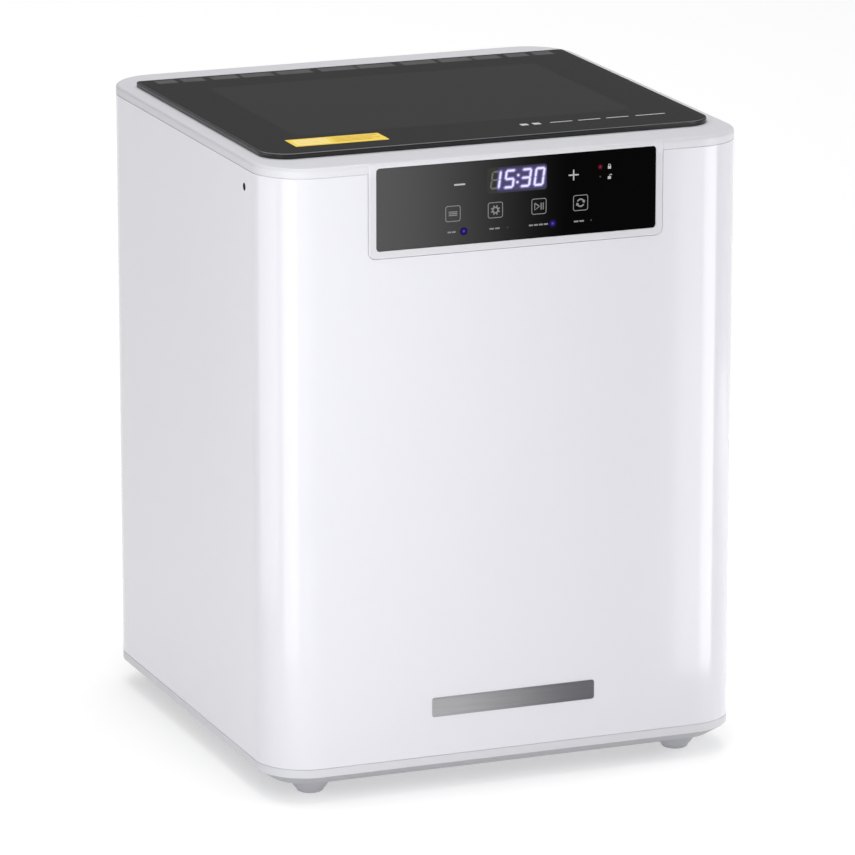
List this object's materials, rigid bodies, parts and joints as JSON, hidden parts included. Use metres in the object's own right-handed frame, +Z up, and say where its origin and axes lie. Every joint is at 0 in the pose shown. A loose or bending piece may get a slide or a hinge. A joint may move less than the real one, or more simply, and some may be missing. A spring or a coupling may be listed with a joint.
{
  "type": "resin wash station",
  "caption": "Floor or bench standing wash and cure machine for resin prints: white wrapped shell, smoked hinged lid, touch panel, steel chamber with lift-out tub, basket and magnetic impeller.",
  "frame": {"origin": "on the floor, under the middle of the body", "axes": "+Z up, front with the control panel faces -Y, +X to the right when seen from the front"},
  "size_m": [0.384, 0.3824, 0.4897],
  "materials": {
    "shell_white": "smooth gloss paint",
    "rear_white": "fine satin powder coat",
    "trim_grey": "satin moulded",
    "foot_rubber": "matte",
    "seal_rubber": "matte",
    "smoked_lid": "polished, smoked",
    "black_glass": "polished, back painted",
    "black_plastic": "fine texture",
    "steel": "brushed",
    "dark_steel": "black oxide",
    "liner_steel": "polished",
    "aluminium": "die cast",
    "magnet_nickel": "nickel plated",
    "brass_post": "plain",
    "circuit_green": "solder mask",
    "board_white": "solder mask",
    "display_black": "tinted",
    "lamp_clear": "clear",
    "clear_cover": "polished",
    "tub_plastic": "translucent",
    "impeller_white": "moulded",
    "label_yellow": "printed film",
    "cable_black": "plain",
    "ribbon_grey": "plain"
  },
  "bodies": {
    "housing": {"outer_shell": "shell_white", "rear_panel": "rear_white", "inlet_plate": "rear_white", "rear_panel_screws": "steel", "top_frame": "trim_grey", "side_screws": "dark_steel", "base_tray": "trim_grey", "base_screws": "steel", "feet": "foot_rubber", "foot_screws": "steel", "chamber_liner": "liner_steel", "liner_screws": "steel", "lid_seal": "seal_rubber", "control_glass": "black_glass", "display_module": "display_black", "touch_board": "circuit_green", "touch_springs": "steel", "indicator_lamps": "lamp_clear", "board_screws": "steel", "uv_boards": "board_white", "uv_lamps": "lamp_clear", "uv_covers": "clear_cover", "drive_motor": "aluminium", "motor_bracket": "steel", "motor_screws": "dark_steel", "motor_standoffs": "steel", "power_supply": "aluminium", "control_board": "circuit_green", "board_standoffs": "brass_post", "fan_housing": "black_plastic", "fan_screws": "dark_steel", "power_inlet": "black_plastic", "inlet_pins": "brass_post", "inlet_screws": "steel", "switch_body": "black_plastic", "hinge_frame_leaf": "steel", "hinge_pin": "steel", "hinge_frame_screws": "steel", "lid_sensor": "black_plastic", "tub_pads": "seal_rubber", "wire_harness": "cable_black", "ribbon_cable": "ribbon_grey", "name_plate": "steel"},
    "lid": {"lid_panel": "smoked_lid", "lid_underframe": "black_plastic", "lid_label": "label_yellow", "hinge_lid_leaf": "steel", "hinge_lid_screws": "steel", "lid_magnets": "magnet_nickel"},
    "drive": {"motor_shaft": "steel", "drive_rotor": "aluminium", "drive_magnets": "magnet_nickel"},
    "fan": {"fan_rotor": "black_plastic"},
    "rocker": {"switch_rocker": "black_plastic"},
    "tub": {"wash_tub": "tub_plastic", "impeller_pin": "steel"},
    "impeller": {"impeller": "impeller_white", "impeller_magnets": "magnet_nickel"},
    "basket": {"print_basket": "steel", "basket_hangers": "steel"}
  },
  "joints": [
    {"name": "lid_hinge", "type": "hinge", "parent": "housing", "child": "lid", "pos_m": [0, 0.1495, 0.4835], "axis": [-1, 0, 0], "range_deg": [0, 95]},
    {"name": "tub_lift", "type": "slide", "parent": "housing", "child": "tub", "axis": [0, 0, 1], "range_m": [0, 0.045]},
    {"name": "basket_lift", "type": "slide", "parent": "tub", "child": "basket", "axis": [0, 0, 1], "range_m": [0, 0.04]},
    {"name": "drive_spin", "type": "hinge", "parent": "housing", "child": "drive", "pos_m": [0, -0.013, 0.094], "axis": [0, 0, 1], "continuous": true},
    {"name": "impeller_spin", "type": "hinge", "parent": "tub", "child": "impeller", "pos_m": [0, -0.013, 0.11], "axis": [0, 0, 1], "continuous": true},
    {"name": "fan_spin", "type": "hinge", "parent": "housing", "child": "fan", "pos_m": [0, 0.176, 0.33], "axis": [0, 1, 0], "continuous": true},
    {"name": "rocker_tilt", "type": "hinge", "parent": "housing", "child": "rocker", "pos_m": [0.055, 0.187, 0.082], "axis": [1, 0, 0], "range_deg": [-18, 0]}
  ],
  "couplings": [
    {"joint": "impeller_spin", "follows": "drive_spin", "ratio": 1}
  ]
}
